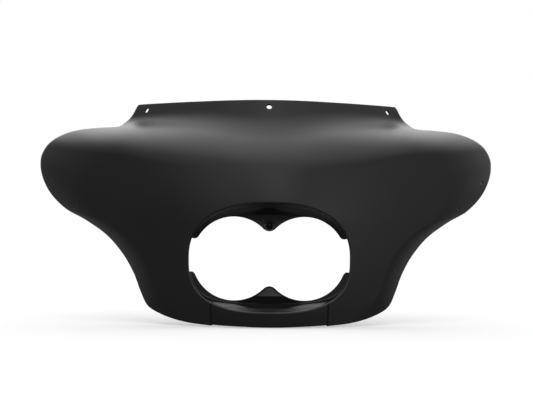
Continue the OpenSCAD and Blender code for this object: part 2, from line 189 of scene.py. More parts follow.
def oval(turn, half_w, half_h, powers):
    """Distance from an oval's middle to its edge; powers are those of its upper and lower half."""
    n = np.where(turn > 90, *powers)
    s, c = np.abs(np.sin(np.radians(turn))), np.abs(np.cos(np.radians(turn)))
    return ((s / half_w) ** n + (c / half_h) ** n) ** (-1 / n)


def at_opening(turn, r):
    """x and z at a distance from the lamps' middle."""
    a = np.radians(turn)
    return r * np.sin(a), OPENING_Z - r * np.cos(a)


def beside_band(t):
    """0 on the sunk chin band, 1 on the shell beside it, with a small rounded step between."""
    return smooth((t - BAND_ROW) / BAND_STEP + 0.5)


def skin_point(t, v, hung=1.0):
    """A point of the skin on line t, at share v of the way from the lamp opening to the edge."""
    e = edge_at(t)
    start = oval(e[..., 2], OPENING_W / 2 + LIP_R, OPENING_H / 2 + LIP_R, SKIN_OVAL)
    ox, oz = at_opening(e[..., 2], start)
    low = e[..., 1] - hung * BAND_DROP * beside_band(t) * np.exp(2 * np.minimum(BAND_ROW - t, 0))
    x, z = ox + (e[..., 0] - ox) * v, oz + (low - oz) * v
    turned = e[..., 3] * (np.maximum(v - TURN_FROM, 0) / (1 - TURN_FROM)) ** 2
    return np.stack([x, skin(x, z) + turned, z], -1)


def unit(a):
    return a / np.linalg.norm(a, axis=-1, keepdims=True)


def along(t, v):
    """Direction of a line, from the opening to the edge."""
    return unit(skin_point(t, np.minimum(v + 0.01, 1)) - skin_point(t, np.maximum(v - 0.01, 0)))


def across(t, v):
    """Way from one line to the next."""
    return skin_point(np.minimum(t + 0.05, LAST), v, 0) - skin_point(np.maximum(t - 0.05, 0), v, 0)


def outward(t, v):
    """The skin's normal, kept upright on the middle line."""
    n = unit(np.cross(across(t, v), along(t, v)))
    n = np.where(n[..., 1:2] > 0, -n, n)
    middle = ((t < 0.02) | (t > LAST - 0.02))[..., None]
    return unit(np.where(middle, n * [0, 1, 1], n))


def sunk(t):
    """How far the chin band is set back behind the skin."""
    return BAND_DEPTH * (1 - beside_band(t))


# The lines from the opening to the edge, round one side of the moulding and back round the other.
# They are closer at the step beside the chin band and at the ends of the web's two halves.
SKIN, SURROUND, INNER, LIP = range(4)
LINE_STEP, STEP_ROOM, END_ROOM = 0.125, 0.08, 0.02
STEP_LINES = BAND_ROW + np.array([-0.075, -0.05, -0.025, 0, 0.025, 0.05, 0.075])
END_LINES = np.array([0, 0.012, 0.03, 0.055, 0.085])


def turns_of(t):
    return edge_at(np.asarray(t, float))[..., 2]


t_dense = np.linspace(0, LAST, 30001)
gap_t = [t_dense[np.argmin(np.abs(turns_of(t_dense) - g))] for g in (GAP_LOW_TURN, GAP_HIGH_TURN)]
ends = np.concatenate([gap_t[0] - END_LINES, gap_t[1] + END_LINES])
even_t = np.arange(0, LAST + 0.001, LINE_STEP)
half_t = np.concatenate([even_t[np.abs(even_t - BAND_ROW) > STEP_ROOM], STEP_LINES])
half_t = half_t[np.min(np.abs(half_t[:, None] - ends[None]), axis=1) > END_ROOM]
half_t = np.sort(np.concatenate([half_t, ends]))
line_t = np.concatenate([half_t, half_t[-2:0:-1]])
line_side = np.concatenate([np.ones(len(half_t)), -np.ones(len(half_t) - 2)])
n_lines = len(line_t)

# The points along a line, as shares of the way; they are closer at the lip and at the edge
front_v = np.concatenate([np.linspace(0, 0.1, 6)[:-1], np.linspace(0.1, 0.94, 40)[:-1],
                          np.linspace(0.94, 1, 7)])
back_v = np.concatenate([[0, 0.015, 0.035, 0.06], np.linspace(0.1, 0.94, 24)[:-1],
                         np.linspace(0.94, 1, 5)])
LIP_SHARES = (1, 0.86, 0.72, 0.58, 0.44, 0.3, 0.15)
RETURN_ROWS = 3


def lip_point(t, f):
    """The rounded lip leaves the skin at f = 0 and points straight back at f = 1."""
    zero = np.zeros_like(t)
    p = skin_point(t, zero) + np.stack([zero, sunk(t), zero], -1)
    k = p - along(t, zero) * LIP_R
    return (1 - f) ** 2 * p + 2 * f * (1 - f) * k + f * f * (k + np.array([0, LIP_R, 0]))


def back_point(t, v):
    """The inner face, square to the skin by the wall, and straight behind it at the lip."""
    n = outward(t, v)
    behind = np.stack([0 * t, WALL / np.abs(n[..., 1]), 0 * t], -1)
    f = smooth(v / LIP_BLEND)[..., None]
    drop = np.stack([0 * t, sunk(t), 0 * t], -1)
    return skin_point(t, v) + drop + behind * (1 - f) - WALL * n * f


def shell_line(t):
    """A closed profile for every line: skin, rounded rim, inner face, lip's return and lip."""
    one, zero = np.ones_like(t), np.zeros_like(t)
    drop = np.stack([zero, sunk(t), zero], -1)
    rows = [(skin_point(t, one * v) + drop, SKIN) for v in front_v]
    n, a, edge = outward(t, one), along(t, one), skin_point(t, one) + drop
    for turn in np.radians([30, 60, 90, 120, 150]):
        rows.append((edge + a * WALL * RIM_BULGE * math.sin(turn)
                     - n * WALL * 0.5 * (1 - math.cos(turn)), SKIN))
    rows += [(back_point(t, one * v), INNER) for v in back_v[::-1]]
    back = lip_point(t, 1) + np.array([0, LIP_RETURN, 0])
    out = unit(along(t, zero) * [1, 0, 1])
    rows += [(back + out * LIP_R, INNER), (back + out * LIP_EDGE, INNER),
             (back - np.array([0, LIP_EDGE, 0]), SURROUND)]
    rows += [(lip_point(t, f), LIP) for f in LIP_SHARES]
    return np.stack([points for points, _ in rows], 1), [slot for _, slot in rows]


def tip_height(r):
    """Height over the lamps' middle of the centre of a rounded tip of the web."""
    return math.sqrt((LAMP_R + r) ** 2 - LAMP_X**2)


def lamp_edge(turn):
    """Distance from the lamps' middle to the edge of the two joined lamp holes."""
    s, c = np.abs(np.sin(np.radians(turn))), np.abs(np.cos(np.radians(turn)))
    r = np.where(turn > 90, WEB_TIP_UP, WEB_TIP_LOW)
    h = np.where(turn > 90, tip_height(WEB_TIP_UP), tip_height(WEB_TIP_LOW))
    near = np.arctan2(s, c) < np.arctan2(LAMP_X * r, LAMP_R * h)
    return np.where(near, h * c - np.sqrt(np.maximum(r**2 - (h * s) ** 2, 0)),
                    LAMP_X * s + np.sqrt(np.maximum(LAMP_R**2 - (LAMP_X * c) ** 2, 0)))


def funnel_foot(turn):
    """Distance from the lamps' middle to the foot of the funnel, where the web starts."""
    return oval(turn, OPENING_W / 2 - FUNNEL_IN_SIDE, OPENING_H / 2 - FUNNEL_IN, WEB_OVAL)


def web_depth(x, z):
    """The web's front: hooded above the lamps with a round dimple, leaning forward below them."""
    turn = np.degrees(np.arctan2(np.abs(x), OPENING_Z - z))
    reach = np.maximum(funnel_foot(turn) - np.hypot(x, z - OPENING_Z), 0)
    hood = HOOD * (1 - np.exp(-reach / HOOD_RUN)) * np.clip((z - OPENING_Z) / HOOD_FADE, 0, 1)
    lean = TONGUE_LEAN * reach * smooth((TONGUE_X - np.abs(x)) / TONGUE_FADE + 1)
    dimple = DIMPLE_DEEP * np.exp(-DIMPLE_FALL * (np.hypot(x, z - DIMPLE_Z) / DIMPLE_R) ** 2)
    return SURROUND_Y + np.where(z > OPENING_Z, hood, -lean) + dimple


def surround_line(t):
    """Duct and cone, rounded corner, web, rounded lamp edge, and the same behind."""
    turn = turns_of(t)
    a = lip_point(t, 1)
    heel = a + np.array([0, LIP_RETURN, 0]) + unit(along(t, 0 * t) * [1, 0, 1]) * LIP_R
    ra = np.hypot(a[..., 0], a[..., 2] - OPENING_Z)
    rl = funnel_foot(turn)
    hole = np.minimum(lamp_edge(turn) + LAMP_DROP * np.cos(np.radians(turn)), rl - WEB_MIN)
    # the web's two ends beside each gap are rounded
    off_gap = np.minimum(np.abs(turn - GAP_LOW_TURN), np.abs(turn - GAP_HIGH_TURN))
    reach = off_gap * np.radians(1) * rl
    f = np.clip(reach / ((rl - hole) * 0.9), 0, 1)
    hole = rl - 0.6 - (rl - 0.6 - hole) * np.sqrt(np.maximum(1 - (1 - f) ** 2, 0))
    rows, part = [], []

    def put(r, y, slot):
        x, z = at_opening(turn, r)
        rows.append(np.stack([x, y + 0 * x, z], -1))
        part.append(slot)

    # a duct straight back from the lip, then the cone down to the web
    corner = np.minimum(CORNER_R, (rl - hole) * 0.3)
    lead = ra - rl - DUCT_DRAFT
    cone_y = np.maximum(SURROUND_Y - lead / math.tan(math.radians(CONE_TURN)), a[..., 1] + 1.5)
    for g in (0.35, 0.7, 0.92):
        put(ra - DUCT_DRAFT * g, a[..., 1] + (cone_y - a[..., 1]) * g, SURROUND)
    for g in (0.08, 0.3, 0.5, 0.7, 0.86):
        put(ra - DUCT_DRAFT - lead * g, cone_y + (SURROUND_Y - cone_y) * g, SURROUND)
    put(rl + 0.4 * corner, SURROUND_Y - 0.75 * corner, SURROUND)
    put(rl - 0.4 * corner, SURROUND_Y - 0.15 * corner, SURROUND)
    # the web from the corner to the lamp's edge, and round that edge
    inner = rl - corner
    rim = hole + WEB_EDGE * np.clip((rl - hole) / 4, 0, 1)
    for g in np.linspace(0, 1, 22):
        r = inner + (rim - inner) * g
        put(r, web_depth(*at_opening(turn, r)), SURROUND)
    front_y = web_depth(*at_opening(turn, rim))
    back_y = front_y + SURROUND_WALL
    put(hole + (rim - hole) * 0.3, front_y + 0.2, SURROUND)
    put(hole, front_y + 0.8, SURROUND)
    put(hole, back_y - 0.6, SURROUND)
    put(hole + (rim - hole) * 0.5, back_y, INNER)
    # back along the rear of the web, and up behind the cone to the lip's return
    for g in (0.75, 0.5, 0.25, 0):
        r = inner + (rim - inner) * g
        put(r, web_depth(*at_opening(turn, r)) + SURROUND_WALL, INNER)
    deep = np.maximum(heel[..., 1], a[..., 1]) + 0.6
    put(rl + SURROUND_WALL + 1, np.maximum(SURROUND_Y + SURROUND_WALL - 2, deep + 0.6), INNER)
    middle_y = (a[..., 1] + SURROUND_Y - 1) / 2 + 1
    put((ra + rl) / 2 + SURROUND_WALL, np.maximum(middle_y, deep), INNER)
    return np.stack(rows, 1), part


def place(p):
    """From millimetres in the moulding's own frame to metres in the part's."""
    return (np.asarray(p) - [0, SURROUND_Y, OPENING_Z]) * MM


mirror = np.stack([line_side, np.ones(n_lines), np.ones(n_lines)], -1)[:, None, :]
shell_pts, shell_part = shell_line(line_t)
shell_pts = shell_pts * mirror
n_shell = shell_pts.shape[1]
line_turn = turns_of(line_t)
framed = (line_turn <= GAP_LOW_TURN + GAP_NEAR) | (line_turn >= GAP_HIGH_TURN - GAP_NEAR)
web_pts, web_part = surround_line(line_t)
web_pts = web_pts * mirror
n_web = web_pts.shape[1]

# Where the web joins on: lip_a is the lip's first row, lip_c the last of the inner face
verts = np.concatenate([shell_pts.reshape(-1, 3), web_pts.reshape(-1, 3)])
lip_a = n_shell - len(LIP_SHARES)
lip_c = lip_a - RETURN_ROWS


def web_row(i):
    """The web's points on a line, with the two points of the shell that it joins."""
    base = (n_lines * n_shell) + i * n_web
    return [i * n_shell + lip_a] + [base + k for k in range(n_web)] + [i * n_shell + lip_c]


faces, finish = [], []
for i in range(n_lines):
    j = (i + 1) % n_lines
    both = framed[i] and framed[j]
    for k in range(n_shell):
        m = (k + 1) % n_shell
        if both and lip_c <= k < lip_a:
            continue
        faces.append((i * n_shell + k, i * n_shell + m, j * n_shell + m, j * n_shell + k))
        finish.append(shell_part[k] if k < n_shell - 1 else SKIN)
    if both:
        row_i, row_j = web_row(i), web_row(j)
        for k in range(n_web + 1):
            faces.append((row_i[k + 1], row_i[k], row_j[k], row_j[k + 1]))
            finish.append(web_part[min(k, n_web - 1)])
for i in range(n_lines):
    for j, flip in (((i + 1) % n_lines, True), ((i - 1) % n_lines, False)):
        if framed[i] and not framed[j]:
            row = web_row(i) + [i * n_shell + lip_c + 1, i * n_shell + lip_c + 2]
            faces.append(tuple(row[::-1] if flip else row))
            finish.append(SURROUND)

used = np.zeros(len(verts), bool)
for f in faces:
    used[list(f)] = True
renumber = np.cumsum(used) - 1
inside = np.clip(place(verts[used]), np.array(cad_box[0]) + 1e-6, np.array(cad_box[1]) - 1e-6)
shell_mesh = bpy.data.meshes.new("fairing_moulding")
shell_mesh.from_pydata(inside.tolist(), [], [tuple(int(renumber[v]) for v in f) for f in faces])
# The finishes, in the order of SKIN, SURROUND, INNER and LIP; their nodes are made further below
for name in ("satin_black", "gloss_black", "inner_black", "polished_lip"):
    shell_mesh.materials.append(bpy.data.materials.new(name))
shell_mesh.polygons.foreach_set("material_index", finish)
shell_mesh.update()

fairing = bpy.data.objects.new("fairing_moulding", shell_mesh)
bpy.context.scene.collection.objects.link(fairing)


def join_to(parts, points, rings, material, flip):
    """Adds a run of closed rings of points, capped at both ends, to the lists of a mesh."""
    verts, faces, slots = parts
    start, n = len(verts), len(points) // rings
    verts.extend(points)
    add = []
    for k in range(rings - 1):
        for i in range(n):
            j = (i + 1) % n
            a = start + k * n
            add.append((a + i, a + j, a + n + j, a + n + i))
    add.append(tuple(start + i for i in range(n))[::-1])
    add.append(tuple(start + (rings - 1) * n + i for i in range(n)))
    faces.extend(f[::-1] for f in add) if flip else faces.extend(add)
    slots.extend([material] * len(add))


# Bosses behind the wings: round posts with a filleted foot and a blind hole for a brass insert
def skin_over(x, z, t, v, tries=8):
    """Line and share at which the skin has the given x and z, searched for from a place near it."""
    t, v = np.broadcast_to(t, np.shape(x)) + 0.0, np.broadcast_to(v, np.shape(x)) + 0.0
    for _ in range(tries):
        p = skin_point(t, v)
        a, b = (skin_point(t + 0.05, v) - p) / 0.05, (skin_point(t, v + 0.01) - p) / 0.01
        det = a[..., 0] * b[..., 2] - b[..., 0] * a[..., 2]
        dx, dz = x - p[..., 0], z - p[..., 2]
        t = t + (dx * b[..., 2] - b[..., 0] * dz) / det
        v = v + (a[..., 0] * dz - dx * a[..., 2]) / det
    return skin_point(t, v), t, v


bosses = []
for row in BOSS_ROWS:
    e = edge_at(np.array(float(row)))
    k = edge_at(np.array(row + 0.05)) - edge_at(np.array(row - 0.05))
    n = np.array([-k[1], k[0]]) / math.hypot(k[0], k[1])
    bosses.append(skin_over(e[0] + n[0] * BOSS_INSET, e[1] + n[1] * BOSS_INSET, float(row), 0.85))
extra = ([], [], [])
for p, t, v in bosses:
    turn = np.arange(BOSS_SIDES) * 2 * math.pi / BOSS_SIDES
    end = p[1] + BOSS_H
    thick = WALL / abs(float(outward(t, v)[..., 1]))

    def ring(r, y):
        return np.stack([p[0] + r * np.cos(turn), y + 0 * turn, p[2] + r * np.sin(turn)], -1)

    # the hole from its floor to its mouth, the end face, and its rounded outer edge
    rows = [ring(INSERT_D / 2, end - INSERT_L - INSERT_RELIEF),
            ring(INSERT_D / 2, end - BOSS_MOUTH), ring(INSERT_D / 2 + BOSS_MOUTH, end),
            ring(BOSS_D / 2 - BOSS_EDGE, end),
            ring(BOSS_D / 2 - BOSS_EDGE * 0.3, end - BOSS_EDGE * 0.3),
            ring(BOSS_D / 2, end - BOSS_EDGE)]
    # the fillet at the foot follows the inner face, and its last ring lies inside the wall
    for degrees, sink in ((0, 0), (22, 0), (45, 0), (67, 0), (85, FOOT_SUNK)):
        a = math.radians(degrees)
        r = BOSS_D / 2 + FOOT_R * (1 - math.cos(a))
        q, _, _ = skin_over(p[0] + r * np.cos(turn), p[2] + r * np.sin(turn), float(t), float(v))
        y = q[..., 1] + thick + FOOT_R * (1 - math.sin(a)) - sink
        rows.append(np.stack([q[..., 0], np.minimum(y, end - BOSS_EDGE - 0.3), q[..., 2]], -1))
    pts = place(np.concatenate(rows))
    join_to(extra, pts.tolist(), len(rows), INNER, True)
    join_to(extra, (pts * [-1, 1, 1]).tolist(), len(rows), INNER, False)

# Flat pad on the lower tongue of the web, upright where the tongue leans
pad_turn = np.radians(np.linspace(-20, 20, 81))
r = lamp_edge(np.degrees(np.abs(pad_turn))) + LAMP_DROP * np.cos(pad_turn)
edge_xz = np.stack([r * np.sin(pad_turn), OPENING_Z - r * np.cos(pad_turn)], -1)
run = np.gradient(edge_xz, axis=0)
down = np.stack([run[:, 1], -run[:, 0]], -1) / np.linalg.norm(run, axis=1, keepdims=True)
pad_foot_z = OPENING_Z - OPENING_H / 2 + FUNNEL_IN + PAD_FOOT


def pad_outline(inset):
    """The tongue's edge moved inwards, down to the pad's foot."""
    q = edge_xz + down * inset
    q = q[q[:, 1] > pad_foot_z + (inset - PAD_INSET)]
    even, own = np.linspace(0, 1, PAD_LINES), np.linspace(0, 1, len(q))
    return np.stack([np.interp(even, own, q[:, i]) for i in (0, 1)], -1)


tip_xz = edge_xz[len(edge_xz) // 2]
pad_top_y = float(web_depth(np.array(0.0), np.array(tip_xz[1] - PAD_INSET)))
rows = [(0.0, SURROUND_Y + 1), (0.0, pad_top_y + 0.4), (0.15, pad_top_y + 0.1),
        (0.5, pad_top_y - 0.05)]
pts = np.concatenate([np.insert(pad_outline(PAD_INSET + i), 1, y, axis=1) for i, y in rows])
join_to(extra, place(pts).tolist(), len(rows), SURROUND, False)

extra_mesh = bpy.data.meshes.new("fairing_bosses")
extra_mesh.from_pydata(extra[0], [], extra[1])
for m in shell_mesh.materials:
    extra_mesh.materials.append(m)
extra_mesh.polygons.foreach_set("material_index", extra[2])


# Screw holes through the flange, square to it, with slightly rounded mouths
def cutter(name, at, axis, profile, sides=40):
    """A closed turned solid about an axis; profile is rows of radius and distance along, in mm."""
    mesh = bpy.data.meshes.new(name)
    bm = bmesh.new()
    turn = Vector((0, 0, 1)).rotation_difference(Vector(axis)).to_matrix()
    rings = []
    for r, h in profile:
        turns = (2 * math.pi * k / sides for k in range(sides))
        places = [Vector((r * math.cos(a), r * math.sin(a), h)) * MM for a in turns]
        rings.append([bm.verts.new(Vector(at) + turn @ q) for q in places])
    for low, high in zip(rings, rings[1:]):
        for k in range(sides):
            bm.faces.new((low[k], low[(k + 1) % sides], high[(k + 1) % sides], high[k]))
    bm.faces.new(rings[0][::-1])
    bm.faces.new(rings[-1])
    bm.to_mesh(mesh)
    bm.free()
    mesh.materials.append(shell_mesh.materials[0])
    made = bpy.data.objects.new(name, mesh)
    bpy.context.scene.collection.objects.link(made)
    return made


def skin_normal(x, z):
    n = np.array([skin(x + 0.5, z) - skin(x - 0.5, z), -1, skin(x, z + 0.5) - skin(x, z - 0.5)])
    return n / np.linalg.norm(n)


def top_edge(x):
    """Height of the flange's edge at a distance from the middle line."""
    for i in range(LAST - 1, 0, -1):
        if EDGE[i][0] >= x:
            f = (x - EDGE[i + 1][0]) / (EDGE[i][0] - EDGE[i + 1][0])
            return EDGE[i + 1][1] + f * (EDGE[i][1] - EDGE[i + 1][1])


cutters = []
for x in (-SCREEN_HOLE_X, 0.0, SCREEN_HOLE_X):
    z = top_edge(abs(x)) - SCREEN_HOLE_DROP
    n = skin_normal(x, z)
    p = place([x, float(skin(np.array(x), np.array(z))), z])
    r = SCREEN_HOLE_D / 2
    cutters.append(cutter("screen_hole_cut", p, n, [
        (r, -12), (r + 0.6, -11.5), (r + 0.6, -WALL - 0.2), (r, -WALL + 0.5), (r, -0.6),
        (r + 0.5, 0.1), (r + 0.5, 10)]))
group = bpy.data.collections.new("cuts")
bpy.context.scene.collection.children.link(group)
for c in cutters:
    bpy.context.scene.collection.objects.unlink(c)
    group.objects.link(c)
cut = fairing.modifiers.new("cuts", "BOOLEAN")
cut.operation, cut.solver = "DIFFERENCE", "MANIFOLD"
cut.operand_type, cut.collection = "COLLECTION", group
evaluated = fairing.evaluated_get(bpy.context.evaluated_depsgraph_get())
solid = bpy.data.meshes.new_from_object(evaluated)
fairing.modifiers.remove(cut)
whole = bmesh.new()
whole.from_mesh(solid)
whole.from_mesh(extra_mesh)
added = [f for f in whole.faces if f.index >= len(solid.polygons)]
bmesh.ops.recalc_face_normals(whole, faces=added)
whole.to_mesh(solid)
whole.free()
fairing.data = solid
for c in cutters:
    bpy.data.objects.remove(c)
bpy.data.collections.remove(group)
fairing.data.shade_smooth()
fairing.data.set_sharp_from_angle(angle=math.radians(38))


# Finish: black plastic, moulded in colour. One group serves the satin skin, the glossier lamp
# surround, the plain inner side and the lip; a second gives the faint sink marks over the bosses.
def socket(group, name, way, kind="NodeSocketFloat"):
    group.interface.new_socket(name, in_out=way, socket_type=kind)


moulded = bpy.data.node_groups.new("moulded_plastic", "ShaderNodeTree")
socket(moulded, "Colour", "INPUT", "NodeSocketColor")
socket(moulded, "Roughness", "INPUT")
socket(moulded, "Grain", "INPUT")
socket(moulded, "Colour", "OUTPUT", "NodeSocketColor")
socket(moulded, "Roughness", "OUTPUT")
socket(moulded, "Height", "OUTPUT")
mn, ml = moulded.nodes, moulded.links
enter, leave = mn.new("NodeGroupInput"), mn.new("NodeGroupOutput")
where = mn.new("ShaderNodeTexCoord")


def noise(nodes, links, at, scale, detail, rough=0.5):
    made = nodes.new("ShaderNodeTexNoise")
    made.inputs["Scale"].default_value, made.inputs["Detail"].default_value = scale, detail
    made.inputs["Roughness"].default_value = rough
    links.new(at, made.inputs["Vector"])
    return made.outputs["Fac"]


def maths(nodes, links, operation, *values):
    """A maths node's output; each value is a number or another node's output."""
    made = nodes.new("ShaderNodeMath")
    made.operation = operation
    for i, v in enumerate(values):
        if isinstance(v, (int, float)):
            made.inputs[i].default_value = v
        else:
            links.new(v, made.inputs[i])
    return made.outputs[0]


# broad handling and flow marks, the tool's fine grain, slight waviness, and hairline scratches
GRAIN_HIGH, WAVE_HIGH = 0.000004, 0.000012
spot = where.outputs["Object"]
handled = noise(mn, ml, spot, 7, 4, 0.6)
flow = noise(mn, ml, spot, 22, 3)
grain = noise(mn, ml, spot, 1600, 2)
wavy = noise(mn, ml, spot, 130, 2)
stretch = mn.new("ShaderNodeMapping")
stretch.inputs["Scale"].default_value = (1, 40, 40)
stretch.inputs["Rotation"].default_value = (0.3, 0.5, 0.2)
ml.new(spot, stretch.inputs["Vector"])
hair = maths(mn, ml, "GREATER_THAN", noise(mn, ml, stretch.outputs[0], 9, 2), 0.71)
shade = maths(mn, ml, "MULTIPLY_ADD", maths(mn, ml, "ADD", handled, flow), 0.35, 0.65)
tint = mn.new("ShaderNodeMix")
tint.data_type, tint.blend_type = "RGBA", "MULTIPLY"
tint.inputs["Factor"].default_value = 1
ml.new(enter.outputs["Colour"], tint.inputs["A"])
ml.new(shade, tint.inputs["B"])
ml.new(tint.outputs["Result"], leave.inputs["Colour"])
worn = maths(mn, ml, "MULTIPLY_ADD", handled, 0.08, -0.04)
worn = maths(mn, ml, "ADD", worn, maths(mn, ml, "MULTIPLY", hair, 0.05))
ml.new(maths(mn, ml, "ADD", enter.outputs["Roughness"], worn), leave.inputs["Roughness"])
rise = maths(mn, ml, "MULTIPLY", grain, enter.outputs["Grain"])
rise = maths(mn, ml, "MULTIPLY_ADD", rise, GRAIN_HIGH, maths(mn, ml, "MULTIPLY", wavy, WAVE_HIGH))
ml.new(rise, leave.inputs["Height"])

sinks = bpy.data.node_groups.new("sink_marks", "ShaderNodeTree")
socket(sinks, "Height", "OUTPUT")
kn, kl = sinks.nodes, sinks.links
here, apart = kn.new("ShaderNodeTexCoord"), kn.new("ShaderNodeSeparateXYZ")
done = kn.new("NodeGroupOutput")
kl.new(here.outputs["Object"], apart.inputs[0])
out_x = maths(kn, kl, "ABSOLUTE", apart.outputs["X"])
SINK_OUTER, SINK_INNER, SINK_DEEP = 0.0045, 0.0005, 0.00045
total_sink = 0.0
for p, _, _ in bosses:
    bx, _, bz = place(p)
    dx = maths(kn, kl, "SUBTRACT", out_x, float(bx))
    dz = maths(kn, kl, "SUBTRACT", apart.outputs["Z"], float(bz))
    far = maths(kn, kl, "MULTIPLY_ADD", dx, dx, maths(kn, kl, "MULTIPLY", dz, dz))
    far = maths(kn, kl, "SQRT", far)
    near = kn.new("ShaderNodeMapRange")
    near.interpolation_type = "SMOOTHSTEP"
    for name, number in (("From Min", SINK_OUTER), ("From Max", SINK_INNER), ("To Min", 0),
                         ("To Max", -SINK_DEEP)):
        near.inputs[name].default_value = number
    kl.new(far, near.inputs["Value"])
    total_sink = maths(kn, kl, "ADD", near.outputs[0], total_sink)
kl.new(total_sink, done.inputs["Height"])


def plastic(name, colour, rough, grain_share, ior, sunken=False):
    """One finish of the moulding; only the skin shows the sink marks."""
    m = bpy.data.materials[name]
    m.use_nodes = True
    nodes, links = m.node_tree.nodes, m.node_tree.links
    shader = nodes["Principled BSDF"]
    kind = nodes.new("ShaderNodeGroup")
    kind.node_tree = moulded
    kind.inputs["Colour"].default_value = (*colour, 1)
    kind.inputs["Roughness"].default_value = rough
    kind.inputs["Grain"].default_value = grain_share
    links.new(kind.outputs["Colour"], shader.inputs["Base Color"])
    links.new(kind.outputs["Roughness"], shader.inputs["Roughness"])
    high = kind.outputs["Height"]
    if sunken:
        dents = nodes.new("ShaderNodeGroup")
        dents.node_tree = sinks
        high = maths(nodes, links, "ADD", high, dents.outputs["Height"])
    bump = nodes.new("ShaderNodeBump")
    bump.inputs["Distance"].default_value = 1
    links.new(high, bump.inputs["Height"])
    links.new(bump.outputs["Normal"], shader.inputs["Normal"])
    shader.inputs["IOR"].default_value = ior


plastic("satin_black", (0.008, 0.008, 0.0086), 0.29, 1.0, 1.5, sunken=True)
plastic("gloss_black", (0.01, 0.01, 0.0105), 0.17, 0.2, 1.5)
plastic("inner_black", (0.03, 0.03, 0.031), 0.45, 2.5, 1.5)
plastic("polished_lip", (0.004, 0.004, 0.0044), 0.16, 0.15, 1.6)
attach(fairing, "root")
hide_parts("outer_fairing")

# ---------------------------------------------------------------------------
# Threaded inserts
# Eight turned brass bushes pressed into the bosses, flush with their ends. Each is knurled outside,
# chamfered at both ends and has an M5 thread inside.
knurl = bpy.data.node_groups.new("knurled_insert", "GeometryNodeTree")
socket(knurl, "Geometry", "INPUT", "NodeSocketGeometry")
SIZES = {"Outer radius": INSERT_D / 2 * MM, "Bore radius": INSERT_THREAD_D / 2 * MM,
         "Length": INSERT_L * MM, "Chamfer": 0.4 * MM, "Knurl depth": 0.22 * MM,
         "Knurl lines": 24.0, "Thread pitch": 0.8 * MM, "Thread depth": 0.3 * MM}
for name in SIZES:
    socket(knurl, name, "INPUT")
socket(knurl, "Material", "INPUT", "NodeSocketMaterial")
socket(knurl, "Geometry", "OUTPUT", "NodeSocketGeometry")
gn, gl = knurl.nodes, knurl.links
given, result = gn.new("NodeGroupInput"), gn.new("NodeGroupOutput")
size_of = given.outputs


def gm(operation, *values):
    """A maths node in the inserts' tree."""
    return maths(gn, gl, operation, *values)


# a rectangle of the wall's section, its corners cut, swept round the bore
POINT_STEP, ROUND_STEPS, BAND_LENGTH, TOUCH = 0.18 * MM, 48, 4.5 * MM, 0.02 * MM
wall_of = gm("SUBTRACT", size_of["Outer radius"], size_of["Bore radius"])
section = gn.new("GeometryNodeCurvePrimitiveQuadrilateral")
gl.new(wall_of, section.inputs["Width"])
gl.new(size_of["Length"], section.inputs["Height"])
cut_corner = gn.new("GeometryNodeFilletCurve")
cut_corner.mode = "BEZIER"
gl.new(section.outputs[0], cut_corner.inputs["Curve"])
gl.new(size_of["Chamfer"], cut_corner.inputs["Radius"])
steps = gn.new("GeometryNodeResampleCurve")
steps.mode = "LENGTH"
gl.new(cut_corner.outputs[0], steps.inputs["Curve"])
steps.inputs["Length"].default_value = POINT_STEP
round_it = gn.new("GeometryNodeCurvePrimitiveCircle")
round_it.inputs["Resolution"].default_value = ROUND_STEPS
middle_r = gm("MULTIPLY", gm("ADD", size_of["Outer radius"], size_of["Bore radius"]), 0.5)
gl.new(middle_r, round_it.inputs["Radius"])
sweep = gn.new("GeometryNodeCurveToMesh")
gl.new(round_it.outputs[0], sweep.inputs["Curve"])
gl.new(steps.outputs[0], sweep.inputs["Profile Curve"])

# knurl cut into the outside and thread cut into the bore, both as shifts along the radius
at = gn.new("GeometryNodeInputPosition")
parts = gn.new("ShaderNodeSeparateXYZ")
gl.new(at.outputs[0], parts.inputs[0])
x_, y_, z_ = parts.outputs
far = gm("SQRT", gm("ADD", gm("MULTIPLY", x_, x_), gm("MULTIPLY", y_, y_)))
angle = gm("ARCTAN2", y_, x_)
slope = gm("DIVIDE", z_, size_of["Outer radius"])
lines_a = gm("SINE", gm("MULTIPLY", gm("ADD", angle, slope), size_of["Knurl lines"]))
lines_b = gm("SINE", gm("MULTIPLY", gm("SUBTRACT", angle, slope), size_of["Knurl lines"]))
groove = gm("MULTIPLY", gm("MAXIMUM", lines_a, lines_b), size_of["Knurl depth"])
groove = gm("MAXIMUM", groove, 0)
band = gm("ABSOLUTE", gm("SINE", gm("MULTIPLY", z_, math.pi / BAND_LENGTH)))
band = gm("GREATER_THAN", band, 0.3)
outside = gm("GREATER_THAN", far, gm("SUBTRACT", size_of["Outer radius"], TOUCH))
turns = gm("DIVIDE", gm("MULTIPLY", z_, 2 * math.pi), size_of["Thread pitch"])
turns = gm("SUBTRACT", turns, angle)
crest = gm("MULTIPLY_ADD", gm("COSINE", turns), 0.5, 0.5)
inside_bore = gm("LESS_THAN", far, gm("ADD", size_of["Bore radius"], TOUCH))
shift = gm("MULTIPLY", gm("MULTIPLY", gm("MULTIPLY", groove, band), outside), -1)
thread = gm("MULTIPLY", gm("MULTIPLY", crest, size_of["Thread depth"]), inside_bore)
shift = gm("ADD", shift, thread)
ratio = gm("DIVIDE", shift, far)
offset = gn.new("ShaderNodeCombineXYZ")
gl.new(gm("MULTIPLY", x_, ratio), offset.inputs[0])
gl.new(gm("MULTIPLY", y_, ratio), offset.inputs[1])
carve = gn.new("GeometryNodeSetPosition")
gl.new(sweep.outputs[0], carve.inputs["Geometry"])
gl.new(offset.outputs[0], carve.inputs["Offset"])

